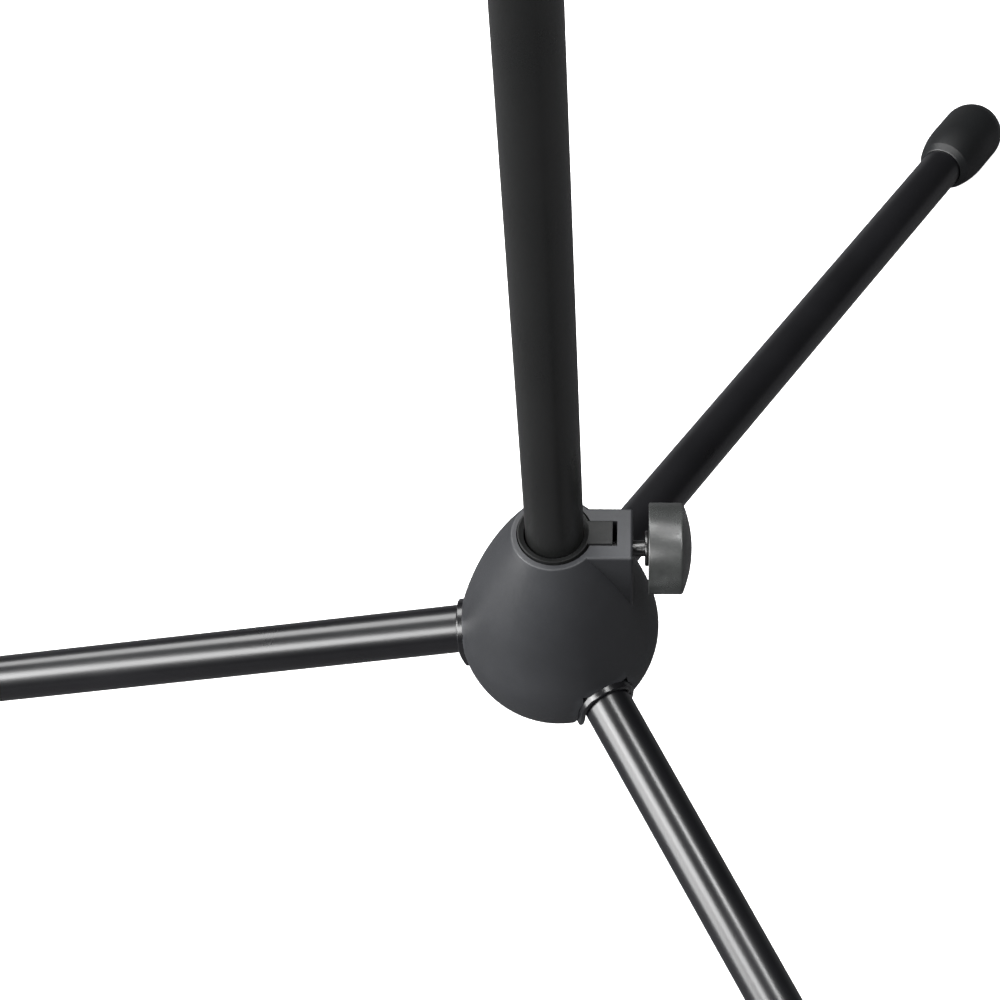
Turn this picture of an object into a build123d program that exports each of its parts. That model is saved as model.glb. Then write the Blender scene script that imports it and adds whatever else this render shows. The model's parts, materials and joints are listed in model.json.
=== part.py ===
from build123d import *

import os
from math import cos, radians, sin, sqrt
from types import SimpleNamespace

# Orchestra music stand: a tilting desk on a two-piece column, held by an egg-shaped die-cast hub
# with three folding tubular legs.
#
# Working frame, millimetres: Z up the column's axis, z = 0 where the three leg axes meet that axis.
# The player stands on the -Y side. The exported frame has its origin on the floor, under the middle
# of the footprint's bounding box, so every part is moved there as it is written.
# Leg frame: X out along a leg's axis, Y along its hinge pin, Z up and square to the leg.
# Clamp frame: X out of the clamp's boss, along its screw, Z up the column.
# Desk frame: origin on the tilt axis, the panel upright and facing -Y.

# ---- column ----
LOWER_TUBE_R = 11.0
LOWER_TUBE_WALL = 1.5
LOWER_TUBE_BOTTOM = -20.0
LOWER_TUBE_TOP = 560.0
UPPER_TUBE_R = 8.0
UPPER_TUBE_WALL = 1.5
UPPER_TUBE_BOTTOM = 250.0
UPPER_TUBE_TOP = 824.0
FACE_GAP = 0.2  # flat faces of two bodies that rest against each other
SLIDE_GAP = 0.1  # radial, a guide bush in its tube
SHAFT_GAP = 0.05  # radial, a pin or screw that turns in its hole
FIXED_GAP = 0.02  # radial, a piece pressed or glued in place
REST_GAP = 0.05  # flat faces of two pieces that bear on each other
PLUG_FLANGE = 2.0
PLUG_LENGTH = 14.0
BUSH_SKIRT = 16.0
BUSH_PLUG = 12.0
BUSH_WALL = 2.0

# ---- legs ----
LEG_AZIMUTHS = {"back": 90.0, "left": -150.0, "right": -30.0}
LEG_DROOP = 12.69
LEG_R = 9.5
LEG_WALL = 1.5
LEG_START_FROM_PIN = 9.0
FOLD_GAP = 0.7  # a folded leg beside the column's sleeve
PIN_R = 2.5
PIN_EMBED = 4.15
KNUCKLE_EYE_INSET = 1.0
KNUCKLE_SHOULDER = 4.0
KNUCKLE_PLUG = 24.0
KNUCKLE_SIDE_GAP = 0.2
PIN_END_GAP = 0.3
LEG_SIDE_GAP = 0.35
LEG_TOP_GAP = 0.3

# ---- rubber feet ----
FOOT_WALL = 5.1
FOOT_CENTRE = 389.5
FOOT_LENGTH = 33.5  # mouth to the ball's centre
FOOT_LIP = 0.5
FOOT_CHAMFER = 2.8
FOOT_CHAMFER_RISE = 2.3
FOOT_FLARE = 18.0
FOOT_SOLID = 5.5
FOOT_FLAT = 0.8

# ---- hub ----
EGG_R = 39.25
EGG_CENTRE_Z = -5.18
EGG_SHOULDER = 13.0  # degrees above the egg's widest circle where the tall upper arc begins
HUB_TOP_Z = 61.0
HUB_BOTTOM_Z = -31.0
HUB_WALL = 3.5
HUB_RIM = 2.0
RIM_ROUND = 0.8
SLEEVE_WALL = 2.0
FLOOR_THICKNESS = 4.0
DRAIN_R = 2.5
CHANNEL_WALL = 5.0
POCKET_TOP_Z = 20.0
INSERT_SEAT_Z = 28.0

# ---- arch liners round the legs ----
GUIDE_WALL = 2.0
GUIDE_PROUD = 2.0
GUIDE_ARM = 10.5
GUIDE_GAP = 0.25
GUIDE_SEAT_GAP = 0.15
GUIDE_ROUND = 0.7

# ---- tube clamps, shared by the hub and the column's top ----
INSERT_CLEARANCE = 0.4
INSERT_WALL = 2.3
INSERT_SHIFT = 0.3
INSERT_PROUD = 0.9
FUNNEL_WIDTH = 1.9
FUNNEL_DEPTH = 0.9
BORE_CLEARANCE = 0.7
TAB_LENGTH = 7.3
TAB_HALF_WIDTH = 5.2
TAB_DEPTH = 20.0
TAB_ROUND = 0.5
TAB_ROOT = 0.5  # how far the tab runs into the ring's wall
SLOT_GAP = 0.3
SLOT_END_GAP = 1.8
BOSS_WALL = 5.8
BOSS_HALF_WIDTH = 11.4
BOSS_DROP = 35.0
BOSS_ROUND = 1.0
SCREW_R = 3.0
SCREW_PITCH = 1.0
SCREW_DROP = 10.3
TIP_R = 2.6
TIP_LENGTH = 1.3
COLLAR_R = 6.7
COLLAR_THICKNESS = 1.4
COLLAR_STANDOFF = 4.5
KNOB_R = 17.3
KNOB_RIM = 12.8
KNOB_DOME = 3.5
KNOB_EDGE = 0.7
KNOB_ROUND = 1.2
KNOB_SOCKET = 9.0

# ---- upper clamp body ----
UPPER_CLAMP_SKIRT = 26.0
UPPER_CLAMP_HEAD = 30.0
UPPER_CLAMP_SHOULDER = 3.0
UPPER_BOSS_SLOPE = 45.0
UPPER_BOSS_TOE = 8.0  # how much of the sloping underside's depth the boss keeps
LOCK_PIN_R = 1.5

# ---- tilt head ----
TILT_Z = 850.0
HEAD_R = 12.0
HEAD_SKIRT = 32.0
HEAD_CAP = 10.0
EAR_INNER = 6.95
EAR_THICKNESS = 5.0
EAR_R = 11.5
EAR_ROOT = 8.0
HEAD_ROUND = 1.0
DISC_THICKNESS = 1.4
DISC_R = 9.5
BOLT_R = 3.0
BOLT_HEAD_R = 6.0
BOLT_HEAD_HEIGHT = 3.2
TILT_WASHER_R = 8.0
TILT_WASHER_THICKNESS = 1.5
CROSS_PIN_R = 2.0
CROSS_PIN_DROP = 14.0

# ---- desk ----
DESK_LEAN = 20.0
DESK_WIDTH = 480.0
DESK_HEIGHT = 340.0
DESK_BELOW = 110.0
DESK_KNOB_GAP = 2.2
DESK_SHEET = 1.0
DESK_FOLD = 8.0
DESK_CORNER = 14.0
HOLE_R = 6.0
HOLE_PITCH_X = 40.0
HOLE_PITCH_Z = 34.0
HOLE_MARGIN = 34.0
HOLE_KEEP_OFF = 2.0
DESK_EDGE = 0.7
LEDGE_DEPTH = 55.0
LEDGE_LIP = 15.0
LEDGE_SHEET = 1.5
LEDGE_BEND = 1.4
LEDGE_OUTER_BEND = 2.75
LEDGE_CORNER = 9.0
BRACKET_WIDTH = 84.0
BRACKET_HEIGHT = 70.0
BRACKET_PLATE = 2.5
BRACKET_CORNER = 6.0
LUG_RIB = 3.0
LUG_RIB_SPAN = 28.0
LUG_OVERLAP = 1.0
RIVET_R = 2.0
RIVET_HEAD_R = 4.0
RIVET_HEAD = 1.1
RIVET_INSET = 10.0
LEDGE_RIVETS = 4
LEDGE_RIVET_MARGIN = 40.0

# ---- worked out from the values above ----
TUBE_BORE_R = LOWER_TUBE_R + 2 * SLIDE_GAP
SLEEVE_R = TUBE_BORE_R + SLEEVE_WALL
PIVOT_OUT = (SLEEVE_R + FOLD_GAP + LEG_R) / cos(radians(LEG_DROOP))
LEG_START = PIVOT_OUT + LEG_START_FROM_PIN
LEG_END = FOOT_CENTRE - FOOT_SOLID
KNUCKLE_EYE_R = LEG_R - KNUCKLE_EYE_INSET
CHANNEL_HALF = LEG_R + LEG_SIDE_GAP
PIN_HALF_LENGTH = CHANNEL_HALF + PIN_EMBED
GUIDE_START = LEG_START
GUIDE_IN = LEG_R + GUIDE_GAP
GUIDE_OUT = GUIDE_IN + GUIDE_WALL
GUIDE_SEAT_R = GUIDE_OUT + GUIDE_SEAT_GAP
FOOT_R = LEG_R + FOOT_WALL
FOOT_MOUTH = FOOT_CENTRE - FOOT_LENGTH
FOOT_MOUTH_R = LEG_R + FOOT_LIP
FOOT_REACH = FOOT_CENTRE * cos(radians(LEG_DROOP))
FLOOR_Z = -FOOT_CENTRE * sin(radians(LEG_DROOP)) - FOOT_R + FOOT_FLAT
ROW_SHIFT = Vector(0, -FOOT_REACH / 4, -FLOOR_Z)
HUB_FLOOR_Z = LOWER_TUBE_BOTTOM - PLUG_FLANGE - FACE_GAP
UPPER_CLAMP_TOP = LOWER_TUBE_TOP + UPPER_CLAMP_HEAD
LUG_HALF = EAR_INNER - DISC_THICKNESS - 3 * REST_GAP
DESK_SETBACK = KNOB_R + DESK_KNOB_GAP + BRACKET_PLATE + LUG_RIB
PANEL_FRONT = -DESK_SETBACK - DESK_SHEET
BIG = 200.0


def clamp_sizes(tube_r, top_z, insert_bottom_z):
    """Every size of one tube clamp, from the tube that it grips and where its rim lies."""
    insert_in = tube_r + INSERT_CLEARANCE
    insert_out = insert_in + INSERT_WALL
    bore = insert_out + BORE_CLEARANCE
    tab_end = bore + TAB_LENGTH
    slot_end = tab_end + SLOT_END_GAP
    face = slot_end + BOSS_WALL
    collar = face + COLLAR_STANDOFF
    return SimpleNamespace(
        top=top_z, bottom=insert_bottom_z, insert_in=insert_in, insert_out=insert_out, bore=bore,
        tab_end=tab_end, slot_end=slot_end, face=face, collar=collar,
        knob=collar + COLLAR_THICKNESS, screw_z=top_z - SCREW_DROP,
    )


HUB_CLAMP = clamp_sizes(LOWER_TUBE_R, HUB_TOP_Z, INSERT_SEAT_Z)
UPPER_CLAMP = clamp_sizes(UPPER_TUBE_R, UPPER_CLAMP_TOP, LOWER_TUBE_TOP + UPPER_CLAMP_SHOULDER)
HUB_TOP_R = HUB_CLAMP.bore + HUB_RIM
UPPER_CLAMP_R = max(UPPER_CLAMP.bore, LOWER_TUBE_R) + HUB_RIM

CLAMP_PLACE = Rot(0, 0, -90)
DESK_PLACE = Pos(0, 0, TILT_Z) * Rot(-DESK_LEAN, 0, 0)


def leg_place(azimuth):
    """Takes the leg frame to the working frame for the leg at that azimuth."""
    return Rot(0, 0, azimuth) * Rot(0, LEG_DROOP, 0)


# ---- simple solids, given by the planes that they lie between ----
def cyl_z(radius, low, high):
    return Pos(0, 0, low) * Cylinder(radius, high - low, align=(Align.CENTER, Align.CENTER, Align.MIN))


def cyl_x(radius, low, high):
    return Rot(0, 90, 0) * cyl_z(radius, low, high)


def cyl_y(radius, low, high):
    return Rot(-90, 0, 0) * cyl_z(radius, low, high)


def block(x, y, z):
    """A box from three (low, high) pairs."""
    size = [high - low for low, high in (x, y, z)]
    middle = [(high + low) / 2 for low, high in (x, y, z)]
    return Pos(*middle) * Box(*size)


def tube_z(radius, wall, low, high):
    return cyl_z(radius, low, high) - cyl_z(radius - wall, low - 1, high + 1)


def turned_x(*lines):
    """A solid of revolution about X from the lines and arcs of its half outline in the XY plane."""
    return revolve(make_face(Wire(lines)), axis=Axis.X)


def dome(radius, height):
    """A shallow ball cap that stands on the XY plane."""
    ball_r = (radius**2 + height**2) / (2 * height)
    half_z = height - ball_r + sqrt(ball_r**2 - radius**2 / 4)
    outline = [
        Line((0, 0), (radius, 0)),
        ThreePointArc((radius, 0), (radius / 2, half_z), (0, height)),
        Line((0, height), (0, 0)),
    ]
    return revolve(Plane.XZ * make_face(Wire(outline)), axis=Axis.Z)


# ---- hub ----
def egg():
    """The hub's outer form: the lower part of a ball that runs into a tall, slimmer upper arc."""
    shoulder = radians(EGG_SHOULDER)
    low = HUB_BOTTOM_Z
    low_r = sqrt(EGG_R**2 - (low - EGG_CENTRE_Z) ** 2)
    widest = (EGG_R, EGG_CENTRE_Z)
    turn = (EGG_R * cos(shoulder), EGG_CENTRE_Z + EGG_R * sin(shoulder))
    outline = [
        Line((0, low), (low_r, low)),
        ThreePointArc((low_r, low), widest, turn),
        TangentArc(turn, (HUB_TOP_R, HUB_TOP_Z), tangent=(-sin(shoulder), cos(shoulder))),
        Line((HUB_TOP_R, HUB_TOP_Z), (0, HUB_TOP_Z)),
        Line((0, HUB_TOP_Z), (0, low)),
    ]
    face = make_face(Wire(outline))
    return revolve(Plane.XZ * face, axis=Axis.Z)


def arch(radius, low):
    """Leg frame YZ outline: a half round over the leg with straight sides down to low."""
    return Circle(radius) + Pos(0, low / 2) * Rectangle(2 * radius, -low)


def leg_cuts(azimuth):
    """The slot that a leg folds through, with its pin's hole and the seat of its arch liner."""
    ceiling = LEG_R + LEG_TOP_GAP
    channel = block((0, BIG), (-CHANNEL_HALF, CHANNEL_HALF), (-BIG, ceiling))
    seat = extrude(Plane.YZ.offset(GUIDE_START - FACE_GAP) * arch(GUIDE_SEAT_R, -BIG), BIG)
    pin = Pos(PIVOT_OUT, 0, 0) * cyl_y(PIN_R + FIXED_GAP, -PIN_HALF_LENGTH, PIN_HALF_LENGTH)
    return leg_place(azimuth) * (channel + seat + pin) - cyl_z(SLEEVE_R, -BIG, BIG)


def pockets():
    """The cored-out space between the leg slots."""
    cavity = Pos(0, 0, EGG_CENTRE_Z) * Sphere(EGG_R - HUB_WALL)
    cavity &= block((-BIG, BIG), (-BIG, BIG), (-BIG, POCKET_TOP_Z))
    cavity -= cyl_z(SLEEVE_R + HUB_WALL, -BIG, BIG)
    half = CHANNEL_HALF + CHANNEL_WALL
    for azimuth in LEG_AZIMUTHS.values():
        cavity -= Rot(0, 0, azimuth) * block((0, BIG), (-half, half), (-BIG, BIG))
    return cavity


def boss(clamp):
    """Clamp frame: the square block that holds a clamp's tab and screw, flush with its rim."""
    solid = block((0, clamp.face), (-BOSS_HALF_WIDTH, BOSS_HALF_WIDTH), (clamp.top - BOSS_DROP, clamp.top))
    outer = solid.faces().sort_by(Axis.X)[-1].edges()
    top = solid.faces().sort_by(Axis.Z)[-1].edges().filter_by(Axis.X)
    lowest = outer.sort_by(Axis.Z)[0]
    return fillet([e for e in outer if e != lowest] + list(top), BOSS_ROUND)


def clamp_cuts(clamp):
    """Clamp frame: the bore for the insert, the slot for its tab and the screw's hole."""
    half = TAB_HALF_WIDTH + SLOT_GAP
    slot_floor = clamp.top - TAB_DEPTH - SLOT_GAP
    cut = cyl_z(clamp.bore, clamp.bottom, clamp.top + BIG)
    cut += block((0, clamp.slot_end), (-half, half), (slot_floor, clamp.top + BIG))
    return cut + Pos(0, 0, clamp.screw_z) * cyl_x(SCREW_R + SHAFT_GAP, clamp.slot_end - 1, clamp.face + 1)


def hub_body():
    body = egg()
    rim = body.edges().filter_by(GeomType.CIRCLE).sort_by(Axis.Z)[-1]
    body = fillet(rim, RIM_ROUND) + CLAMP_PLACE * boss(HUB_CLAMP)
    body -= CLAMP_PLACE * clamp_cuts(HUB_CLAMP)
    body -= cyl_z(TUBE_BORE_R, HUB_FLOOR_Z, INSERT_SEAT_Z + 1)
    body -= cyl_z(DRAIN_R, HUB_FLOOR_Z - BIG, HUB_FLOOR_Z + 1)
    body -= pockets()
    body -= cyl_z(SLEEVE_R + HUB_WALL, HUB_BOTTOM_Z - 1, HUB_FLOOR_Z - FLOOR_THICKNESS)
    for azimuth in LEG_AZIMUTHS.values():
        body -= leg_cuts(azimuth)
    return body


def leg_guide(azimuth):
    """The glossy arch liner: it frames the leg where it leaves the hub and stands a little proud."""
    tip_r = GUIDE_WALL / 2
    tip_z = -GUIDE_ARM + tip_r
    outline = arch(GUIDE_OUT, tip_z) - arch(GUIDE_IN, tip_z - BIG)
    for side in (-1, 1):
        outline += Pos(side * (GUIDE_IN + tip_r), tip_z) * Circle(tip_r)
    liner = extrude(Plane.YZ.offset(GUIDE_START) * outline, BIG)
    ball = Pos(0, 0, EGG_CENTRE_Z) * Sphere(EGG_R + GUIDE_PROUD)
    liner = leg_place(azimuth) * liner & ball
    front = liner.faces().filter_by(GeomType.SPHERE).sort_by(SortBy.AREA)[-1]
    return fillet(front.edges(), GUIDE_ROUND)


# ---- legs ----
def leg_tube():
    return cyl_x(LEG_R, LEG_START, LEG_END) - cyl_x(LEG_R - LEG_WALL, LEG_START - 1, LEG_END + 1)


def leg_knuckle():
    """The plug in a leg's inner end, with the eye that turns on the hinge pin."""
    half = LEG_R - KNUCKLE_SIDE_GAP
    eye = Pos(PIVOT_OUT, 0, 0) * cyl_y(KNUCKLE_EYE_R, -half, half)
    neck_end = LEG_START - KNUCKLE_SHOULDER
    neck = block((PIVOT_OUT, neck_end), (-half, half), (-KNUCKLE_EYE_R, KNUCKLE_EYE_R))
    shoulder = cyl_x(LEG_R, neck_end, LEG_START)
    plug = cyl_x(LEG_R - LEG_WALL - FIXED_GAP, LEG_START, LEG_START + KNUCKLE_PLUG)
    hole = Pos(PIVOT_OUT, 0, 0) * cyl_y(PIN_R + SHAFT_GAP, -BIG, BIG)
    root = (eye + neck) & cyl_x(LEG_R, 0, LEG_START)
    return root + shoulder + plug - hole


def leg_pin():
    end = PIN_HALF_LENGTH - PIN_END_GAP
    return Pos(PIVOT_OUT, 0, 0) * cyl_y(PIN_R, -end, end)


def foot_cap(azimuth):
    """The rubber bulb on a leg's end, flattened a little where it bears on the floor."""
    full = FOOT_MOUTH + FOOT_FLARE
    shoulder = (FOOT_MOUTH + FOOT_CHAMFER, FOOT_MOUTH_R + FOOT_CHAMFER_RISE)
    tip = FOOT_CENTRE + FOOT_R
    bore = LEG_R + FIXED_GAP
    slant = FOOT_R * sin(radians(45))
    bulb = turned_x(
        Line((FOOT_MOUTH, 0), (FOOT_MOUTH, FOOT_MOUTH_R)),
        Line((FOOT_MOUTH, FOOT_MOUTH_R), shoulder),
        TangentArc((full, FOOT_R), shoulder, tangent=(-1, 0)),
        Line((full, FOOT_R), (FOOT_CENTRE, FOOT_R)),
        ThreePointArc((FOOT_CENTRE, FOOT_R), (FOOT_CENTRE + slant, slant), (tip, 0)),
        Line((tip, 0), (FOOT_MOUTH, 0)),
    )
    bulb = leg_place(azimuth) * (bulb - cyl_x(bore, FOOT_MOUTH - 1, LEG_END + FACE_GAP))
    return bulb & block((-2 * BIG, 2 * BIG), (-2 * BIG, 2 * BIG), (FLOOR_Z, BIG))


# ---- clamp pieces, in the clamp frame ----
def clamp_insert(clamp):
    """The plastic bush that grips the tube: a ring with a funnel top and a tab that the screw pushes."""
    top = clamp.top + INSERT_PROUD
    ring = cyl_z(clamp.insert_out, clamp.bottom, top)
    tab = block((0, clamp.tab_end), (-TAB_HALF_WIDTH, TAB_HALF_WIDTH), (clamp.top - TAB_DEPTH, top))
    tab = fillet(tab.faces().sort_by(Axis.Z)[-1].edges().filter_by(Axis.X), TAB_ROUND)
    mouth = clamp.insert_in + FUNNEL_WIDTH
    on_base = (Align.CENTER, Align.CENTER, Align.MIN)
    funnel = Pos(0, 0, top - FUNNEL_DEPTH) * Cone(clamp.insert_in, mouth, FUNNEL_DEPTH, align=on_base)
    ring -= cyl_z(clamp.insert_in, clamp.bottom - 1, top + 1) + funnel
    tab -= Pos(-INSERT_SHIFT, 0, 0) * cyl_z(clamp.insert_out - TAB_ROOT, clamp.bottom, top + 1)
    return Pos(-INSERT_SHIFT, 0, 0) * ring + tab


def clamp_tip(clamp):
    """The small pad on the screw's end that bears on the tab without turning."""
    start = clamp.tab_end + REST_GAP
    return Pos(0, 0, clamp.screw_z) * cyl_x(TIP_R, start, start + TIP_LENGTH)


def clamp_stud(clamp):
    start = clamp.tab_end + TIP_LENGTH + 2 * REST_GAP
    return Pos(0, 0, clamp.screw_z) * cyl_x(SCREW_R, start, clamp.knob + KNOB_SOCKET)


def clamp_collar(clamp):
    hole = cyl_x(SCREW_R + FIXED_GAP, clamp.collar - 1, clamp.knob + 1)
    return Pos(0, 0, clamp.screw_z) * (cyl_x(COLLAR_R, clamp.collar, clamp.knob) - hole)


def knob_solid(start, socket_r, socket_depth):
    """A plain round knob turned about X: straight rim, crowned outer face, socket in its back."""
    rim = start + KNOB_RIM
    dome = rim + KNOB_DOME
    dome_r = (KNOB_R**2 + KNOB_DOME**2) / (2 * KNOB_DOME)
    half_r = KNOB_R / 2
    half_x = dome - (dome_r - sqrt(dome_r**2 - half_r**2))
    outline = make_face(Wire([
        Line((start, 0), (start, KNOB_R)),
        Line((start, KNOB_R), (rim, KNOB_R)),
        ThreePointArc((rim, KNOB_R), (half_x, half_r), (dome, 0)),
        Line((dome, 0), (start, 0)),
    ]))
    back_corner, rim_corner = outline.vertices().sort_by(Axis.Y)[-2:].sort_by(Axis.X)
    outline = fillet(rim_corner, KNOB_ROUND)
    back_corner = outline.vertices().sort_by_distance((start, KNOB_R))[0]
    outline = fillet(back_corner, KNOB_EDGE)
    return revolve(outline, axis=Axis.X) - cyl_x(socket_r, start - 1, start + socket_depth)


def clamp_knob(clamp):
    return Pos(0, 0, clamp.screw_z) * knob_solid(clamp.knob, SCREW_R + FIXED_GAP, KNOB_SOCKET + FIXED_GAP)


# ---- column ----
def lower_tube():
    tube = tube_z(LOWER_TUBE_R, LOWER_TUBE_WALL, LOWER_TUBE_BOTTOM, LOWER_TUBE_TOP)
    return tube - lock_pin(LOCK_PIN_R + FIXED_GAP)


def lower_tube_plug():
    """The end plug that the column stands on inside the hub."""
    bottom = LOWER_TUBE_BOTTOM - PLUG_FLANGE
    top = LOWER_TUBE_BOTTOM + PLUG_LENGTH
    flange = cyl_z(LOWER_TUBE_R, bottom, LOWER_TUBE_BOTTOM - REST_GAP)
    body = cyl_z(LOWER_TUBE_R - LOWER_TUBE_WALL - SHAFT_GAP, bottom, top)
    return flange + body - cyl_z(DRAIN_R, bottom - 1, top + 1)


def lock_pin(radius=LOCK_PIN_R):
    """The pin that fixes the upper clamp's body to the lower tube, from the back."""
    wall_in = LOWER_TUBE_R - LOWER_TUBE_WALL
    return Pos(0, 0, LOWER_TUBE_TOP - UPPER_CLAMP_SKIRT / 2) * cyl_y(radius, wall_in, UPPER_CLAMP_R)


def upper_clamp_body():
    sleeve = cyl_z(UPPER_CLAMP_R, LOWER_TUBE_TOP - UPPER_CLAMP_SKIRT, UPPER_CLAMP.top)
    sleeve = fillet(sleeve.edges().filter_by(GeomType.CIRCLE), RIM_ROUND)
    low = UPPER_CLAMP.top - UPPER_CLAMP_HEAD
    block_part = boss(UPPER_CLAMP) & block((0, BIG), (-BIG, BIG), (low, UPPER_CLAMP.top + 1))
    under = block((-BIG, BIG), (-BIG, BIG), (-BIG, UPPER_BOSS_TOE))
    slope = Pos(UPPER_CLAMP.face, 0, low) * Rot(0, -UPPER_BOSS_SLOPE, 0) * under
    body = sleeve + (block_part - slope)
    body -= clamp_cuts(UPPER_CLAMP)
    body -= cyl_z(UPPER_TUBE_R + 3 * SLIDE_GAP, LOWER_TUBE_TOP - 1, UPPER_CLAMP.bottom + 1)
    body -= cyl_z(LOWER_TUBE_R + FIXED_GAP, LOWER_TUBE_TOP - BIG, LOWER_TUBE_TOP + FACE_GAP)
    return CLAMP_PLACE * body - lock_pin(LOCK_PIN_R + FIXED_GAP)


def upper_tube():
    tube = tube_z(UPPER_TUBE_R, UPPER_TUBE_WALL, UPPER_TUBE_BOTTOM, UPPER_TUBE_TOP)
    return tube - cross_pin(CROSS_PIN_R + FIXED_GAP)


def upper_tube_bush():
    """The guide bush on the upper tube's lower end: it slides in the lower tube."""
    bore = LOWER_TUBE_R - LOWER_TUBE_WALL
    inside = UPPER_TUBE_R - UPPER_TUBE_WALL - SHAFT_GAP
    low = UPPER_TUBE_BOTTOM - BUSH_SKIRT
    top = UPPER_TUBE_BOTTOM + BUSH_PLUG
    skirt = cyl_z(bore - SLIDE_GAP, low, UPPER_TUBE_BOTTOM - REST_GAP)
    return skirt + cyl_z(inside, low, top) - cyl_z(inside - BUSH_WALL, low - 1, top + 1)


# ---- tilt head ----
def cross_pin(radius=CROSS_PIN_R):
    return Pos(0, 0, UPPER_TUBE_TOP - CROSS_PIN_DROP) * cyl_y(radius, -HEAD_R, HEAD_R)


def tilt_head():
    """The fork on the upper tube: a socket with two ears that hold the desk's lug."""
    cap_top = UPPER_TUBE_TOP + HEAD_CAP
    socket = cyl_z(HEAD_R, UPPER_TUBE_TOP - HEAD_SKIRT, cap_top)
    socket = fillet(socket.edges().filter_by(GeomType.CIRCLE).sort_by(Axis.Z)[0], HEAD_ROUND)
    outer = EAR_INNER + EAR_THICKNESS
    ears = block((-outer, outer), (-EAR_R, EAR_R), (cap_top - EAR_ROOT, TILT_Z))
    ears += Pos(0, 0, TILT_Z) * cyl_x(EAR_R, -outer, outer)
    gap = block((-EAR_INNER, EAR_INNER), (-BIG, BIG), (cap_top, TILT_Z + BIG))
    head = socket + ears - gap
    head -= cyl_z(UPPER_TUBE_R + FIXED_GAP, UPPER_TUBE_TOP - BIG, UPPER_TUBE_TOP + FACE_GAP)
    head -= Pos(0, 0, TILT_Z) * cyl_x(BOLT_R + FIXED_GAP, -BIG, BIG)
    return head - cross_pin(CROSS_PIN_R + FIXED_GAP)


def tilt_discs():
    """Two friction discs, one each side of the desk's lug."""
    outer = EAR_INNER - REST_GAP
    disc = cyl_x(DISC_R, outer - DISC_THICKNESS, outer) - cyl_x(BOLT_R + FIXED_GAP, 0, BIG)
    placed = Pos(0, 0, TILT_Z) * disc
    return placed, mirror(placed, about=Plane.YZ)


def tilt_bolt():
    """Carriage bolt along X: domed head on the right, thread towards the knob on the left."""
    face = EAR_INNER + EAR_THICKNESS
    end = -(face + TILT_WASHER_THICKNESS + KNOB_SOCKET)
    shank = cyl_x(BOLT_R, end, face)
    head = Pos(face, 0, 0) * Rot(0, 90, 0) * dome(BOLT_HEAD_R, BOLT_HEAD_HEIGHT)
    return Pos(0, 0, TILT_Z) * (shank + head)


def tilt_washer():
    face = EAR_INNER + EAR_THICKNESS + REST_GAP
    ring = cyl_x(TILT_WASHER_R, face, face + TILT_WASHER_THICKNESS)
    return Pos(0, 0, TILT_Z) * Rot(0, 0, 180) * (ring - cyl_x(BOLT_R + SHAFT_GAP, 0, BIG))


def tilt_knob():
    start = EAR_INNER + EAR_THICKNESS + TILT_WASHER_THICKNESS + 2 * REST_GAP
    knob = knob_solid(start, BOLT_R + SHAFT_GAP, KNOB_SOCKET + SCREW_PITCH)
    return Pos(0, 0, TILT_Z) * Rot(0, 0, 180) * knob


# ---- desk, in the desk frame ----
def hole_places():
    """Centres of the panel's staggered holes, leaving out those over the bracket."""
    keep_x = BRACKET_WIDTH / 2 + HOLE_R + HOLE_KEEP_OFF
    keep_z = BRACKET_HEIGHT / 2 + HOLE_R + HOLE_KEEP_OFF
    half_x = DESK_WIDTH / 2 - HOLE_MARGIN
    low = -DESK_BELOW + HOLE_MARGIN
    high = DESK_HEIGHT - DESK_BELOW - HOLE_MARGIN
    rows = int((high - low) // HOLE_PITCH_Z) + 1
    start = (low + high) / 2 - (rows - 1) * HOLE_PITCH_Z / 2
    places = []
    for row in range(rows):
        z = start + row * HOLE_PITCH_Z
        offset = HOLE_PITCH_X / 2 if row % 2 else 0.0
        count = int((half_x - offset) // HOLE_PITCH_X)
        xs = sorted({side * (offset + k * HOLE_PITCH_X) for k in range(count + 1) for side in (-1, 1)})
        places += [(x, z) for x in xs if abs(x) >= keep_x or abs(z) >= keep_z]
    return places


def bracket_rivet_places():
    across = BRACKET_WIDTH / 2 - RIVET_INSET
    up = BRACKET_HEIGHT / 2 - RIVET_INSET
    return [(x, z) for x in (-across, across) for z in (-up, up)]


def ledge_rivet_places():
    span = DESK_WIDTH - 2 * LEDGE_RIVET_MARGIN
    xs = [span * (k / (LEDGE_RIVETS - 1) - 0.5) for k in range(LEDGE_RIVETS)]
    return [(x, -DESK_SETBACK + DESK_FOLD / 2) for x in xs]


def desk_panel():
    """The perforated steel panel, its four edges folded back."""
    middle_z = DESK_HEIGHT / 2 - DESK_BELOW
    outer = Pos(0, middle_z) * RectangleRounded(DESK_WIDTH, DESK_HEIGHT, DESK_CORNER)
    inner = Pos(0, middle_z) * RectangleRounded(
        DESK_WIDTH - 2 * DESK_SHEET, DESK_HEIGHT - 2 * DESK_SHEET, DESK_CORNER - DESK_SHEET
    )
    holes = [Pos(x, z) * Circle(HOLE_R) for x, z in hole_places()]
    holes += [Pos(x, z) * Circle(RIVET_R + FIXED_GAP) for x, z in bracket_rivet_places()]
    # Plane.XZ looks along -Y, so a positive extrusion runs towards the player.
    front = Plane.XZ.offset(DESK_SETBACK)
    sheet = extrude(front * (outer - holes), DESK_SHEET)
    rim = extrude(front * (outer - inner), -DESK_FOLD)
    panel = fillet((sheet + rim).faces().sort_by(Axis.Y)[0].outer_wire().edges(), DESK_EDGE)
    for x, y in ledge_rivet_places():
        panel -= Pos(x, y, 0) * cyl_z(RIVET_R + FIXED_GAP, -DESK_BELOW - 1, -DESK_BELOW + DESK_SHEET + 1)
    return panel


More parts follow.
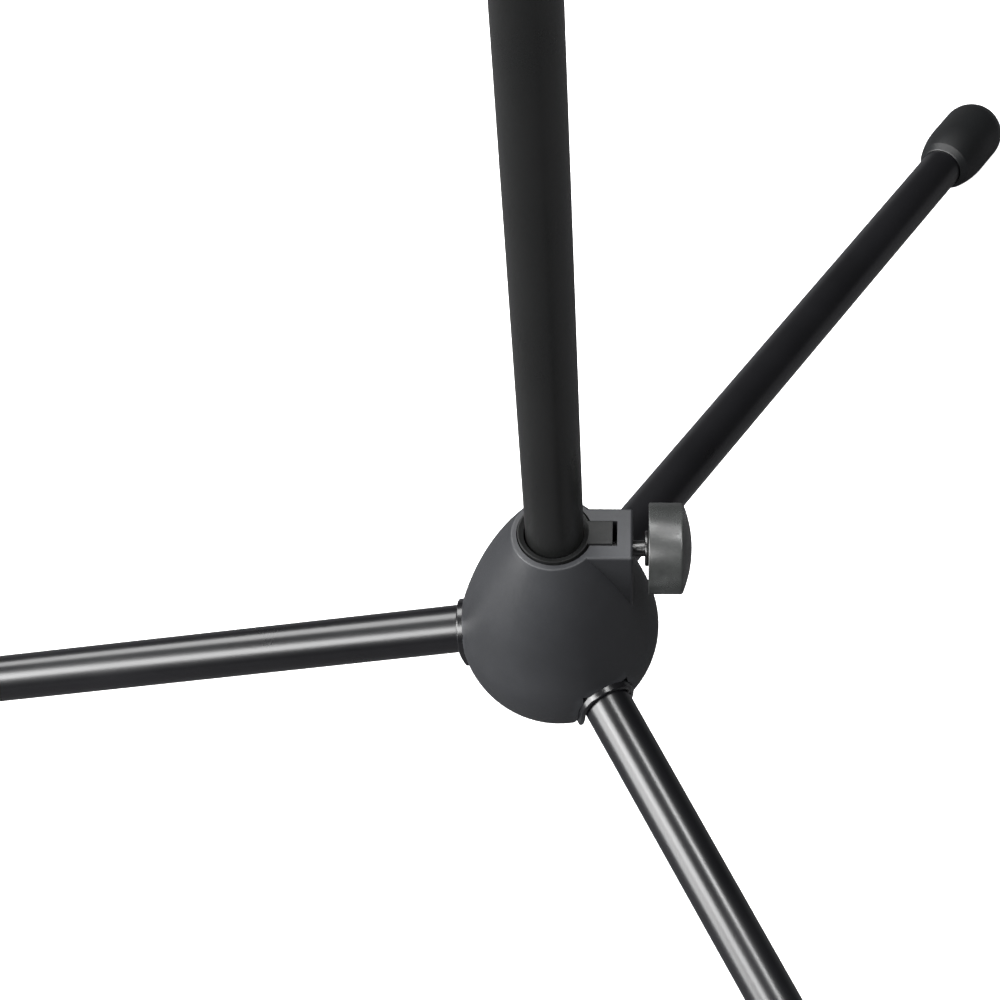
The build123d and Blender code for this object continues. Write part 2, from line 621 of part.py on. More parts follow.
def desk_ledge():
    """The shelf that the sheets stand on: a flat strip under the panel with a front lip."""
    top = -DESK_BELOW
    back = -DESK_SETBACK + DESK_FOLD
    front = PANEL_FRONT - LEDGE_DEPTH
    half = DESK_WIDTH / 2
    strip = block((-half, half), (front - LEDGE_SHEET, back), (top - LEDGE_SHEET, top))
    lip = block((-half, half), (front - LEDGE_SHEET, front), (top - LEDGE_SHEET, top + LEDGE_LIP))
    ledge = strip + lip
    inner_bend = ledge.edges().filter_by(Axis.X).sort_by_distance((0, front, top))[0]
    ledge = fillet(inner_bend, LEDGE_BEND)
    corner = (0, front - LEDGE_SHEET, top - LEDGE_SHEET)
    ledge = fillet(ledge.edges().filter_by(Axis.X).sort_by_distance(corner)[0], LEDGE_OUTER_BEND)
    ledge = fillet(ledge.edges().filter_by(Axis.Y).sort_by(Axis.Z)[-2:], LEDGE_CORNER)
    for x, y in ledge_rivet_places():
        ledge -= Pos(x, y, 0) * cyl_z(RIVET_R + FIXED_GAP, top - LEDGE_SHEET - 1, top + 1)
    return ledge


def desk_bracket():
    """The steel plate behind the panel and the lug that turns in the tilt head's fork."""
    face = Plane.XZ.offset(DESK_SETBACK - BRACKET_PLATE)
    plate = RectangleRounded(BRACKET_WIDTH, BRACKET_HEIGHT, BRACKET_CORNER)
    plate -= [Pos(x, z) * Circle(RIVET_R + FIXED_GAP) for x, z in bracket_rivet_places()]
    solid = extrude(face * plate, BRACKET_PLATE)
    root = LUG_OVERLAP - DESK_SETBACK
    lug = block((-LUG_HALF, LUG_HALF), (root, 0), (-EAR_R, EAR_R)) + cyl_x(EAR_R, -LUG_HALF, LUG_HALF)
    rib_top = -DESK_SETBACK + BRACKET_PLATE + LUG_RIB
    rib = block((-LUG_RIB_SPAN, LUG_RIB_SPAN), (root, rib_top), (-LUG_RIB / 2, LUG_RIB / 2))
    return solid + lug + rib - cyl_x(BOLT_R + SHAFT_GAP, -BIG, BIG)


def rivet(grip, low_face):
    """Z along the rivet: shank through the grip with a domed head at each end."""
    high_face = low_face + grip
    top = Pos(0, 0, high_face) * dome(RIVET_HEAD_R, RIVET_HEAD)
    tail = mirror(top, about=Plane.XY.offset((low_face + high_face) / 2))
    return cyl_z(RIVET_R, low_face, high_face) + top + tail


def bracket_rivets():
    body = rivet(DESK_SHEET + BRACKET_PLATE, DESK_SETBACK - BRACKET_PLATE)
    return [Pos(x, 0, z) * Rot(90, 0, 0) * body for x, z in bracket_rivet_places()]


def ledge_rivets():
    body = rivet(LEDGE_SHEET + DESK_SHEET, -DESK_BELOW - LEDGE_SHEET)
    return [Pos(x, y, 0) * body for x, y in ledge_rivet_places()]


def all_parts():
    """Every node by name, in the working frame."""
    parts = {"hub_body": hub_body()}
    for name, azimuth in LEG_AZIMUTHS.items():
        place = leg_place(azimuth)
        parts[f"leg_guide_{name}"] = leg_guide(azimuth)
        parts[f"leg_pin_{name}"] = place * leg_pin()
        parts[f"leg_knuckle_{name}"] = place * leg_knuckle()
        parts[f"leg_tube_{name}"] = place * leg_tube()
        parts[f"foot_cap_{name}"] = foot_cap(azimuth)
    for name, clamp in (("base", HUB_CLAMP), ("upper", UPPER_CLAMP)):
        parts[f"{name}_clamp_insert"] = CLAMP_PLACE * clamp_insert(clamp)
        parts[f"{name}_screw_tip"] = CLAMP_PLACE * clamp_tip(clamp)
        parts[f"{name}_screw_stud"] = CLAMP_PLACE * clamp_stud(clamp)
        parts[f"{name}_screw_collar"] = CLAMP_PLACE * clamp_collar(clamp)
        parts[f"{name}_screw_knob"] = CLAMP_PLACE * clamp_knob(clamp)
    parts["lower_tube"] = lower_tube()
    parts["lower_tube_plug"] = lower_tube_plug()
    parts["upper_clamp_body"] = upper_clamp_body()
    parts["upper_clamp_pin"] = lock_pin()
    parts["upper_tube"] = upper_tube()
    parts["upper_tube_bush"] = upper_tube_bush()
    parts["tilt_head"] = tilt_head()
    parts["tilt_head_pin"] = cross_pin()
    parts["tilt_friction_discs"] = Compound(tilt_discs())
    parts["tilt_bolt"] = tilt_bolt()
    parts["tilt_washer"] = tilt_washer()
    parts["tilt_knob"] = tilt_knob()
    parts["desk_panel"] = DESK_PLACE * desk_panel()
    parts["desk_ledge"] = DESK_PLACE * desk_ledge()
    parts["desk_bracket"] = DESK_PLACE * desk_bracket()
    parts["desk_bracket_rivets"] = DESK_PLACE * Compound(bracket_rivets())
    parts["desk_ledge_rivets"] = DESK_PLACE * Compound(ledge_rivets())
    return parts


def main():
    os.makedirs("parts", exist_ok=True)
    for name, shape in all_parts().items():
        export_step(Pos(*ROW_SHIFT) * shape, f"parts/{name}.step")


if __name__ == "__main__":
    main()
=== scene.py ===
import json
import math

import bmesh
import bpy
from mathutils import Matrix, Vector


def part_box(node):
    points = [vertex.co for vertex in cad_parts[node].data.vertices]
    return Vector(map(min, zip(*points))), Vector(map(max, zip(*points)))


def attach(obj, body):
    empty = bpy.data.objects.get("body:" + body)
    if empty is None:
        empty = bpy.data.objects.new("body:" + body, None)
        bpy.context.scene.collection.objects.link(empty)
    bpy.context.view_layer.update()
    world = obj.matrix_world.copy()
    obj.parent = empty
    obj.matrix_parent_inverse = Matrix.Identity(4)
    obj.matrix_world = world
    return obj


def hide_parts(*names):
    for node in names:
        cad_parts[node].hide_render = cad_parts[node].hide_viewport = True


# Looks for the music stand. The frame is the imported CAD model: metres, +Z up, the player on the -Y side.

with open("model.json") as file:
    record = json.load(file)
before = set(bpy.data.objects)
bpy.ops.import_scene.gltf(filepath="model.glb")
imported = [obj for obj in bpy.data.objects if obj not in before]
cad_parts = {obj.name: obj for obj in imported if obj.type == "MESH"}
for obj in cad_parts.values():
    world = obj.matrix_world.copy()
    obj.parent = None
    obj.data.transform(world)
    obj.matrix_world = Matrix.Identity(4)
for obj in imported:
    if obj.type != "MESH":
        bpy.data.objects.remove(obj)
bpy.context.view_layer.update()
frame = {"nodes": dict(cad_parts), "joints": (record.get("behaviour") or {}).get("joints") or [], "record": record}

# ---- sizes that the frame does not state ----
MM = 0.001
LEG_DROOP = math.radians(12.69)
LEGS = ("back", "left", "right")
TO_PLAYER = Vector((0, -1, 0))
TO_LEFT = Vector((-1, 0, 0))

# Turned pieces, in mm along and out from their own axes.
KNOB_R = 17.3
KNOB_RIM = 12.8
KNOB_DOME = 3.5
KNOB_CORNER = 1.2
KNOB_SOCKET = 9.0
KNOB_EYE_R = 7.9
KNOB_HOLLOW = 3.2
KNOB_WALL = 2.4
KNOB_RIBS = 6
KNOB_RIB_THICKNESS = 1.2
KNOB_RIB_SUNK = 0.3  # how far a rib runs into the eye and the wall
KNOB_EDGE_ROUND = 0.4
KNOB_HOLLOW_ROUND = 0.5
KNOB_RIM_ROUND = 0.6
KNOB_DRAFT = 0.7  # how much the hollow narrows towards its floor, on each side
SCREW_R = 3.0
THREAD_PITCH = 1.0
THREAD_DEPTH = 0.5
THREAD_SUNK = 0.1  # how far the thread's foot is sunk into the core
THREAD_FOOT = 0.46  # half the thread's width at its foot, in pitches
THREAD_CREST = 0.06  # half its width at its crest, in pitches
THREAD_STEPS = 24
PRESS_GAP = 0.02  # radial, a piece pressed onto the screw or the leg
TILT_PRESS_GAP = 0.05  # radial, the tilt knob on its bolt
SCREW_NECK = 18.0  # the plain length at the knob's end
COLLAR_R = 6.7
COLLAR_THICKNESS = 1.4
COLLAR_ROUND = 0.45
COLLAR_BREAK = 0.25
LEG_R = 9.5
FOOT_MOUTH = 356.0
FOOT_MOUTH_R = 10.0
FOOT_CHAMFER = 2.8
FOOT_SHOULDER_R = 12.3
FOOT_FULL = 374.0
FOOT_CENTRE = 389.5
FOOT_R = 14.6
FOOT_BORE_END = 384.2
FOOT_LIP_ROUND = 0.2

# ---- camera: where it stands from the point where the leg axes meet the column's axis ----
CAMERA_FROM_HUB = Vector((-0.53019, -0.03774, 0.87529))
CAMERA_FORWARD = Vector((0.55517, 0.05984, -0.82958))
CAMERA_RIGHT = Vector((0.03779, -0.99819, -0.04671))
CAMERA_LENS = 93.4
SENSOR = 36.0
FLOOR_HALF = 6.0
FLOOR_GLOW = 1.0
WORLD_SEEN = 1.0
WORLD_GIVEN = 0.035

# ---- softboxes: places and aims from the hub, in metres; the long side runs along STRIP_ALONG ----
STRIP_ALONG = Vector((0.64, 0.77, 0.0))


# ---- places taken from the frame ----
def joint(name):
    return next(j for j in frame["joints"] if j["name"] == name)


def centre(node):
    low, high = (Vector(corner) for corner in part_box(node))
    return (low + high) / 2


def hub_point():
    """Where the three leg axes meet the column's axis."""
    axis = centre("lower_tube")
    pivot = Vector(joint("leg_back_fold")["pos_m"])
    out = math.hypot(pivot.x - axis.x, pivot.y - axis.y)
    return Vector((axis.x, axis.y, pivot.z + out * math.tan(LEG_DROOP)))


HUB = hub_point()


def leg_matrix(leg):
    """Takes the leg frame (X out along the leg, Z up and square to it) to the row frame."""
    pivot = Vector(joint(f"leg_{leg}_fold")["pos_m"])
    azimuth = math.atan2(pivot.y - HUB.y, pivot.x - HUB.x)
    turn = Matrix.Rotation(azimuth, 4, "Z") @ Matrix.Rotation(LEG_DROOP, 4, "Y")
    return Matrix.Translation(HUB) @ turn


# ---- node graphs ----
class Graph:
    """A material's nodes, with short ways to add the ones used here."""

    def __init__(self, name):
        self.material = bpy.data.materials.new(name)
        self.material.use_nodes = True
        self.tree = self.material.node_tree
        self.shader = self.tree.nodes["Principled BSDF"]
        self.place = self.node("ShaderNodeTexCoord").outputs["Object"]

    def node(self, kind, **settings):
        made = self.tree.nodes.new(kind)
        for key, value in settings.items():
            setattr(made, key, value)
        return made

    def put(self, socket, value):
        """Links value to the socket if it is another socket, else stores it there."""
        if isinstance(value, bpy.types.NodeSocket):
            self.tree.links.new(value, socket)
        else:
            socket.default_value = value

    def set(self, **values):
        for name, value in values.items():
            self.put(self.shader.inputs[name.replace("_", " ")], value)

    def noise(self, scale, detail=4.0, rough=0.55, stretch=(1, 1, 1), place=None):
        """A fractal noise value; scale is in features a metre."""
        mapping = self.node("ShaderNodeMapping")
        self.put(mapping.inputs["Vector"], place or self.place)
        mapping.inputs["Scale"].default_value = stretch
        made = self.node("ShaderNodeTexNoise")
        self.put(made.inputs["Vector"], mapping.outputs["Vector"])
        made.inputs["Scale"].default_value = scale
        made.inputs["Detail"].default_value = detail
        made.inputs["Roughness"].default_value = rough
        return made.outputs["Fac"]

    def cells(self, scale, feature="F1"):
        made = self.node("ShaderNodeTexVoronoi", feature=feature)
        self.put(made.inputs["Vector"], self.place)
        made.inputs["Scale"].default_value = scale
        return made.outputs["Distance"]

    def span(self, value, low, high, to_low=0.0, to_high=1.0):
        made = self.node("ShaderNodeMapRange")
        self.put(made.inputs["Value"], value)
        self.put(made.inputs["From Min"], low)
        self.put(made.inputs["From Max"], high)
        self.put(made.inputs["To Min"], to_low)
        self.put(made.inputs["To Max"], to_high)
        return made.outputs["Result"]

    def maths(self, operation, a, b=0.0):
        made = self.node("ShaderNodeMath", operation=operation)
        self.put(made.inputs[0], a)
        self.put(made.inputs[1], b)
        return made.outputs["Value"]

    def mix(self, factor, a, b):
        made = self.node("ShaderNodeMix", data_type="RGBA")
        self.put(made.inputs["Factor"], factor)
        self.put(made.inputs[6], a)
        self.put(made.inputs[7], b)
        return made.outputs[2]

    def bump(self, height, depth, strength=1.0, normal=None):
        """A bump of that depth in metres."""
        made = self.node("ShaderNodeBump")
        made.inputs["Strength"].default_value = strength
        made.inputs["Distance"].default_value = depth
        self.put(made.inputs["Height"], height)
        if normal is not None:
            self.put(made.inputs["Normal"], normal)
        return made.outputs["Normal"]

    def edges(self, low=0.51, high=0.56):
        """1 on sharp outer edges, 0 elsewhere."""
        return self.span(self.node("ShaderNodeNewGeometry").outputs["Pointiness"], low, high)


def tint(colour, factor):
    return (colour[0] * factor, colour[1] * factor, colour[2] * factor, 1.0)


# ---- materials ----
def powder_coat(name, colour, rough, grain, depth, worn=0.25):
    """Baked powder paint: a fine orange peel, slightly uneven gloss, rubbed edges."""
    g = Graph(name)
    cloud = g.noise(24, detail=3)
    peel = g.noise(grain, detail=3, rough=0.6)
    speck = g.span(g.noise(grain * 2.3, detail=2), 0.62, 0.75)
    body = g.mix(g.span(cloud, 0.35, 0.65), tint(colour, 0.88), tint(colour, 1.14))
    body = g.mix(g.maths("MULTIPLY", speck, 0.35), body, tint(colour, 1.9))
    body = g.mix(g.maths("MULTIPLY", g.edges(), worn), body, tint(colour, 3.0))
    uneven = g.span(cloud, 0.3, 0.7, rough - 0.05, rough + 0.05)
    gloss = g.maths("ADD", uneven, g.span(peel, 0.3, 0.7, -0.04, 0.04))
    g.set(Base_Color=body, Roughness=gloss, Normal=g.bump(peel, depth))
    return g.material


def gloss_paint(name, colour, rough, coat):
    """Glossy black enamel on drawn tube: long faint draw lines under a flowing clear coat."""
    g = Graph(name)
    cloud = g.noise(18, detail=3)
    flow = g.noise(420, detail=2)
    dust = g.span(g.noise(1100, detail=2), 0.70, 0.78)
    body = g.mix(g.span(cloud, 0.35, 0.65), tint(colour, 0.85), tint(colour, 1.2))
    body = g.mix(g.maths("MULTIPLY", dust, 0.05), body, (0.16, 0.16, 0.16, 1))
    uneven = g.span(cloud, 0.3, 0.7, rough - 0.03, rough + 0.03)
    gloss = g.maths("ADD", uneven, g.maths("MULTIPLY", dust, 0.05))
    g.set(Base_Color=body, Roughness=gloss, Normal=g.bump(flow, 0.004 * MM))
    g.set(Coat_Weight=coat, Coat_Roughness=0.22)
    return g.material


def moulded(name, colour, rough, grain, depth, mottle=0.3, worn=0.15, specular=0.5):
    """Spark-eroded moulded plastic: an even fine grain, cloudy gloss, lighter edges."""
    g = Graph(name)
    cloud = g.noise(60, detail=5, rough=0.6)
    pits = g.cells(grain)
    fine = g.noise(grain * 1.4, detail=3)
    body = g.mix(g.span(cloud, 0.35, 0.65), tint(colour, 1 - mottle), tint(colour, 1 + mottle))
    body = g.mix(g.maths("MULTIPLY", g.edges(), worn), body, tint(colour, 2.6))
    uneven = g.span(cloud, 0.3, 0.7, rough + 0.10, rough - 0.08)
    gloss = g.maths("ADD", uneven, g.span(fine, 0.3, 0.7, -0.04, 0.04))
    normal = g.bump(fine, depth * 0.6, normal=g.bump(pits, depth))
    g.set(Base_Color=body, Roughness=gloss, Normal=normal, Specular_IOR_Level=specular)
    return g.material


def rubber(name, colour):
    """Dull moulded rubber with a light bloom and scuffs."""
    g = Graph(name)
    bloom = g.noise(45, detail=4)
    skin = g.noise(1500, detail=3)
    scuff = g.span(g.noise(380, detail=2, stretch=(1, 1, 3)), 0.64, 0.7)
    body = g.mix(g.span(bloom, 0.35, 0.7), tint(colour, 0.85), tint(colour, 1.3))
    body = g.mix(g.maths("MULTIPLY", scuff, 0.2), body, tint(colour, 2.2))
    gloss = g.span(bloom, 0.3, 0.7, 0.46, 0.36)
    g.set(Base_Color=body, Roughness=gloss, Normal=g.bump(skin, 0.04 * MM))
    return g.material


def zinc(name):
    """Bright zinc plate on turned steel: fine turning marks and a faint cloudy passivation."""
    g = Graph(name)
    cloud = g.noise(300, detail=4)
    marks = g.noise(2600, detail=2, stretch=(1, 0.15, 0.15))
    body = g.mix(g.span(cloud, 0.3, 0.7), (0.10, 0.10, 0.10, 1), (0.18, 0.18, 0.18, 1))
    gloss = g.span(cloud, 0.3, 0.7, 0.26, 0.42)
    g.set(Base_Color=body, Metallic=1.0, Roughness=gloss, Normal=g.bump(marks, 0.02 * MM))
    return g.material


def pale_floor(name):
    """A pale sweep: it looks white to the camera and gives the stand only a weak bounce."""
    g = Graph(name)
    cloud = g.noise(1.5, detail=2)
    seen = g.node("ShaderNodeLightPath").outputs["Is Camera Ray"]
    pale = g.mix(cloud, (0.84, 0.84, 0.84, 1), (0.86, 0.86, 0.86, 1))
    g.set(Base_Color=g.mix(seen, (0.08, 0.08, 0.083, 1), pale), Roughness=0.9, Specular_IOR_Level=0.1)
    g.set(Emission_Color=(1, 1, 1, 1), Emission_Strength=g.maths("MULTIPLY", seen, FLOOR_GLOW))
    return g.material


LOOKS = {
    "hub_paint": powder_coat("hub_paint", (0.023, 0.024, 0.0265), 0.46, 1600, 0.02 * MM),
    "guide_gloss": gloss_paint("guide_gloss", (0.006, 0.006, 0.007), 0.24, 0.5),
    "leg_gloss": gloss_paint("leg_gloss", (0.005, 0.005, 0.006), 0.30, 0.5),
    "column_paint": powder_coat("column_paint", (0.006, 0.0063, 0.0062), 0.34, 1700, 0.015 * MM, worn=0.1),
    "zinc_steel": zinc("zinc_steel"),
    "nylon": moulded("nylon", (0.028, 0.028, 0.030), 0.5, 1500, 0.03 * MM),
    "rubber": rubber("rubber", (0.006, 0.0065, 0.007)),
    "clamp_plastic": moulded(
        "clamp_plastic", (0.012, 0.0125, 0.0125), 0.40, 1500, 0.012 * MM, mottle=0.1, specular=0.28
    ),
    "knob_plastic": moulded(
        "knob_plastic", (0.034, 0.036, 0.035), 0.30, 1500, 0.014 * MM, mottle=0.5, specular=0.75
    ),
    "desk_paint": powder_coat("desk_paint", (0.024, 0.025, 0.026), 0.55, 1200, 0.05 * MM),
    "rivet_black": powder_coat("rivet_black", (0.022, 0.022, 0.024), 0.4, 1500, 0.02 * MM),
}


def dress_frame():
    """Gives every CAD node the material of its slot in the record."""
    slots = {part["node"]: part["material_slot"] for part in frame["record"]["subparts"]}
    for name, node in frame["nodes"].items():
        node.data.materials.clear()
        node.data.materials.append(LOOKS[slots[name]])


# ---- pieces turned about an axis ----
def arc(centre_x, centre_r, radius, start, end, steps):
    """Points of an arc in the (x, r) half plane, angles in degrees from the +r direction towards +x."""
    points = []
    for i in range(steps + 1):
        angle = math.radians(start + (end - start) * i / steps)
        points.append((centre_x + radius * math.sin(angle), centre_r + radius * math.cos(angle)))
    return points


def lathe_mesh(outline, steps=96):
    """A mesh turned about X from (x, r) points; r = 0 is a point on the axis."""
    mesh = bmesh.new()
    rings = []
    for x, r in outline:
        count = steps if r > 1e-7 else 1
        turns = [2 * math.pi * i / steps for i in range(count)]
        rings.append([mesh.verts.new((x, r * math.sin(a), r * math.cos(a))) for a in turns])
    for first, second in zip(rings, rings[1:]):
        for i in range(steps):
            corners = [first[i % len(first)], second[i % len(second)]]
            corners += [second[(i + 1) % len(second)], first[(i + 1) % len(first)]]
            corners = list(dict.fromkeys(corners))
            if len(corners) > 2:
                mesh.faces.new(corners)
    bmesh.ops.remove_doubles(mesh, verts=mesh.verts, dist=1e-5)
    bmesh.ops.recalc_face_normals(mesh, faces=mesh.faces)
    return mesh


def finish_mesh(name, mesh, crisp=None):
    """Makes the mesh an object, smooth but for edges that turn by more than crisp degrees."""
    if crisp is not None:
        for edge in mesh.edges:
            edge.smooth = edge.is_manifold and edge.calc_face_angle(0.0) < math.radians(crisp)
    data = bpy.data.meshes.new(name)
    mesh.to_mesh(data)
    mesh.free()
    for face in data.polygons:
        face.use_smooth = crisp is not None
    made = bpy.data.objects.new(name, data)
    bpy.context.scene.collection.objects.link(made)
    return made


def stand_for(piece, node, body, slot):
    """piece replaces a CAD node, rides on its body and takes its slot's look."""
    piece.data.materials.append(LOOKS[slot])
    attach(piece, body)
    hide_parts(node)


def turned_place(node, direction):
    """Takes mm along X from the node's near end, on its axis, to the row frame along direction."""
    low, high = (Vector(corner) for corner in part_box(node))
    start = (low + high) / 2 - direction * abs((high - low).dot(direction)) / 2
    turn = Matrix.Rotation(math.atan2(direction.y, direction.x), 4, "Z")
    return Matrix.Translation(start) @ turn @ Matrix.Scale(MM, 4)


# ---- knobs ----
def knob_outline(socket_r):
    """From the socket's floor, round the hollow back and the rim, to the middle of the crown."""
    crown_r = (KNOB_R**2 + KNOB_DOME**2) / (2 * KNOB_DOME)
    crown_x = KNOB_RIM + KNOB_DOME - crown_r
    corner_r = KNOB_R - KNOB_CORNER
    corner_x = crown_x + math.sqrt((crown_r - KNOB_CORNER) ** 2 - corner_r**2)
    turn = math.degrees(math.atan2(corner_x - crown_x, corner_r))
    wall_r = KNOB_R - KNOB_WALL
    edge = KNOB_EDGE_ROUND
    hollow_x = KNOB_HOLLOW - KNOB_HOLLOW_ROUND
    points = [(KNOB_SOCKET, 0), (KNOB_SOCKET, socket_r), (edge, socket_r)]
    points += arc(edge, socket_r + edge, edge, 180, 270, 3)
    points += arc(edge, KNOB_EYE_R - edge, edge, -90, 0, 4)
    points += arc(hollow_x, KNOB_EYE_R + KNOB_DRAFT, KNOB_HOLLOW_ROUND, 180, 90, 4)
    points += arc(hollow_x, wall_r - KNOB_DRAFT, KNOB_HOLLOW_ROUND, 90, 0, 4)
    points += arc(edge, wall_r + edge, edge, 180, 270, 4)
    points += arc(KNOB_RIM_ROUND, KNOB_R - KNOB_RIM_ROUND, KNOB_RIM_ROUND, -90, 0, 6)
    points += arc(corner_x, corner_r, KNOB_CORNER, 0, turn, 8)
    points += arc(crown_x, 0, crown_r, turn, 90, 14)[1:-1]
    return points + [(KNOB_RIM + KNOB_DOME, 0)]


def add_knob(node, body, direction, socket_r):
    mesh = lathe_mesh(knob_outline(socket_r), steps=128)
    inner = KNOB_EYE_R - KNOB_RIB_SUNK
    outer = KNOB_R - KNOB_WALL + KNOB_RIB_SUNK
    for i in range(KNOB_RIBS):
        turn = Matrix.Rotation(2 * math.pi * i / KNOB_RIBS, 4, "X")
        size = Matrix.Diagonal((KNOB_HOLLOW, KNOB_RIB_THICKNESS, outer - inner, 1))
        middle = (KNOB_HOLLOW / 2 + KNOB_RIM_ROUND, 0, (inner + outer) / 2)
        place = turn @ Matrix.Translation(middle) @ size
        bmesh.ops.create_cube(mesh, size=1, matrix=place)
    mesh.transform(turned_place(node, direction))
    stand_for(finish_mesh(f"{node}_moulded", mesh, crisp=35), node, body, "knob_plastic")


# ---- screws ----
def add_thread(mesh, length):
    """A helical ridge about X that stands on the screw's core; its foot is sunk into the core."""
    root = SCREW_R - THREAD_DEPTH - THREAD_SUNK
    shape = [(-THREAD_FOOT, root), (-THREAD_CREST, SCREW_R), (THREAD_CREST, SCREW_R), (THREAD_FOOT, root)]
    rings = []
    for i in range(int((length / THREAD_PITCH - 1) * THREAD_STEPS) + 1):
        angle = 2 * math.pi * i / THREAD_STEPS
        x = THREAD_PITCH * (0.5 + i / THREAD_STEPS)
        ring = [(x + dx * THREAD_PITCH, r * math.sin(angle), r * math.cos(angle)) for dx, r in shape]
        rings.append([mesh.verts.new(point) for point in ring])
    for first, second in zip(rings, rings[1:]):
        for j in range(4):
            mesh.faces.new((first[j], second[j], second[(j + 1) % 4], first[(j + 1) % 4]))
    mesh.faces.new(rings[0])
    mesh.faces.new(rings[-1])


def add_stud(node, body, direction):
    low, high = (Vector(corner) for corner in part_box(node))
    length = abs((high - low).dot(direction)) / MM
    core = SCREW_R - THREAD_DEPTH
    neck = length - SCREW_NECK
    outline = [(0, 0), (0, core - 0.5), (0.5, core), (neck - 0.5, core), (neck, SCREW_R)]
    mesh = lathe_mesh(outline + [(length, SCREW_R), (length, 0)], steps=64)
    add_thread(mesh, neck)
    bmesh.ops.recalc_face_normals(mesh, faces=mesh.faces)
    mesh.transform(turned_place(node, direction))
    stand_for(finish_mesh(f"{node}_threaded", mesh, crisp=30), node, body, "zinc_steel")


def add_collar(node, body, direction):
    inner = SCREW_R + PRESS_GAP
    outer = COLLAR_R - COLLAR_ROUND
    far = COLLAR_THICKNESS - COLLAR_ROUND
    points = [(COLLAR_THICKNESS, inner), (COLLAR_BREAK, inner), (0, inner + COLLAR_BREAK)]
    points += arc(COLLAR_ROUND, outer, COLLAR_ROUND, -90, 0, 6) + arc(far, outer, COLLAR_ROUND, 0, 90, 6)
    mesh = lathe_mesh(points + points[:1], steps=96)
    mesh.transform(turned_place(node, direction))
    stand_for(finish_mesh(f"{node}_turned", mesh, crisp=35), node, body, "zinc_steel")


# ---- rubber feet ----
def foot_outline():
    """From the bore's floor, round the mouth, its chamfer and the swelling shoulder, to the ball's tip."""
    bore = LEG_R + PRESS_GAP
    lip = FOOT_LIP_ROUND
    rise = FOOT_R - FOOT_SHOULDER_R
    reach = FOOT_FULL - FOOT_MOUTH - FOOT_CHAMFER
    swell = (reach**2 + rise**2) / (2 * rise)
    start = -2 * math.degrees(math.atan2(rise, reach))
    points = [(FOOT_BORE_END, 0), (FOOT_BORE_END, bore), (FOOT_MOUTH + lip, bore), (FOOT_MOUTH, bore + lip)]
    points += [(FOOT_MOUTH, FOOT_MOUTH_R - lip / 2), (FOOT_MOUTH + lip, FOOT_MOUTH_R + lip)]
    points += arc(FOOT_FULL, FOOT_R - swell, swell, start, 0, 24)
    points += arc(FOOT_CENTRE, 0, FOOT_R, 0, 90, 28)[:-1]
    return points + [(FOOT_CENTRE + FOOT_R, 0)]


def add_foot(leg):
    mesh = lathe_mesh(foot_outline(), steps=128)
    mesh.transform(leg_matrix(leg) @ Matrix.Scale(MM, 4))
    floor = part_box(f"foot_cap_{leg}")[0][2]
    for vertex in mesh.verts:
        vertex.co.z = max(vertex.co.z, floor)
    stand_for(finish_mesh(f"foot_{leg}_rubber", mesh, crisp=12), f"foot_cap_{leg}", f"leg_{leg}", "rubber")


# ---- stage ----
def add_floor():
    mesh = bmesh.new()
    signs = ((-1, -1), (1, -1), (1, 1), (-1, 1))
    mesh.faces.new([mesh.verts.new((x * FLOOR_HALF, y * FLOOR_HALF, 0)) for x, y in signs])
    floor = finish_mesh("floor", mesh)
    floor.data.materials.append(pale_floor("floor"))


def add_strip(name, place, size, power, aim=(0, 0, 0), spread=180):
    """A soft box at place that faces aim, both from the hub, with its long side along STRIP_ALONG."""
    data = bpy.data.lights.new(name, "AREA")
    data.shape = "RECTANGLE"
    data.size, data.size_y = size
    data.energy = power
    data.spread = math.radians(spread)
    lamp = bpy.data.objects.new(name, data)
    bpy.context.scene.collection.objects.link(lamp)
    back = (Vector(place) - Vector(aim)).normalized()
    along = (STRIP_ALONG - back * STRIP_ALONG.dot(back)).normalized()
    turn = Matrix((along, back.cross(along), back)).transposed().to_4x4()
    lamp.matrix_world = Matrix.Translation(HUB + Vector(place)) @ turn
    lamp.visible_camera = False


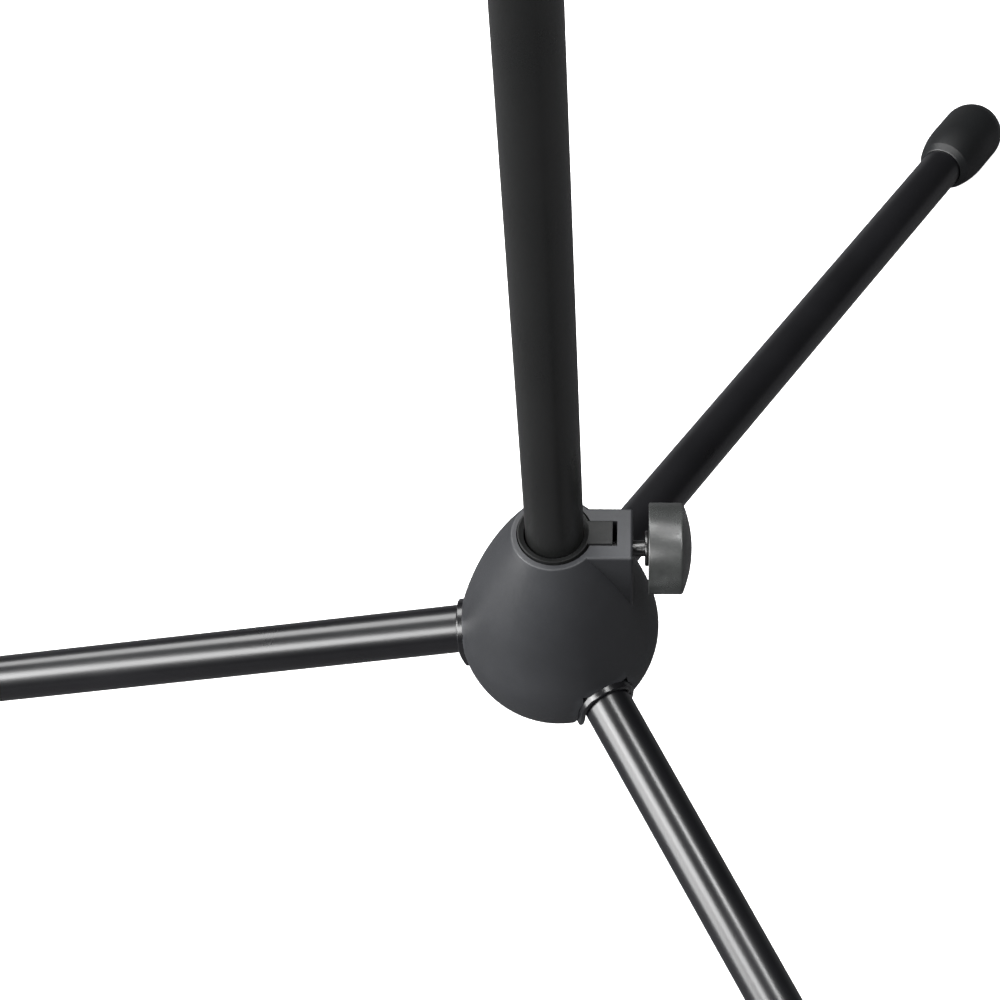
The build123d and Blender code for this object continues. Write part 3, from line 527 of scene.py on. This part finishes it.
def add_camera():
    data = bpy.data.cameras.new("camera")
    data.lens = CAMERA_LENS
    data.sensor_width = SENSOR
    camera = bpy.data.objects.new("camera", data)
    bpy.context.scene.collection.objects.link(camera)
    forward = CAMERA_FORWARD.normalized()
    right = (CAMERA_RIGHT - forward * CAMERA_RIGHT.dot(forward)).normalized()
    up = right.cross(forward)
    turn = Matrix((right, up, -forward)).transposed().to_4x4()
    camera.matrix_world = Matrix.Translation(HUB + CAMERA_FROM_HUB) @ turn
    bpy.context.scene.camera = camera


def add_world(seen, given):
    """Pale to the camera, dim for everything else, so that the softboxes shape the stand."""
    world = bpy.data.worlds.new("studio")
    world.use_nodes = True
    tree = world.node_tree
    rays = tree.nodes.new("ShaderNodeLightPath")
    level = tree.nodes.new("ShaderNodeMapRange")
    level.inputs["To Min"].default_value = given
    level.inputs["To Max"].default_value = seen
    tree.links.new(rays.outputs["Is Camera Ray"], level.inputs["Value"])
    tree.links.new(level.outputs["Result"], tree.nodes["Background"].inputs["Strength"])
    tree.nodes["Background"].inputs["Color"].default_value = (1, 1, 1, 1)
    bpy.context.scene.world = world


dress_frame()
for leg in LEGS:
    add_foot(leg)
for clamp in ("base", "upper"):
    add_knob(f"{clamp}_screw_knob", f"{clamp}_knob", TO_PLAYER, SCREW_R + PRESS_GAP)
    add_stud(f"{clamp}_screw_stud", f"{clamp}_knob", TO_PLAYER)
    add_collar(f"{clamp}_screw_collar", f"{clamp}_knob", TO_PLAYER)
add_knob("tilt_knob", "tilt_knob", TO_LEFT, SCREW_R + TILT_PRESS_GAP)
add_floor()
add_world(WORLD_SEEN, WORLD_GIVEN)
add_strip("strip_left", (-1.4, 1.85, 2.2), (4.0, 1.05), 155)
add_strip("strip_right", (1.0, 0.6, 2.2), (4.0, 0.95), 88)
add_strip("strip_low", (-0.11, -0.205, 0.5), (0.40, 0.05), 1.2)
add_strip("fill_left", (-0.5, 1.9, 0.6), (1.4, 1.4), 56)
add_strip("fill_player", (0.5, -1.3, 1.4), (0.6, 0.6), 2.6, aim=(0, 0, 0.95), spread=36)
add_camera()
bpy.context.scene.view_settings.view_transform = "Standard"
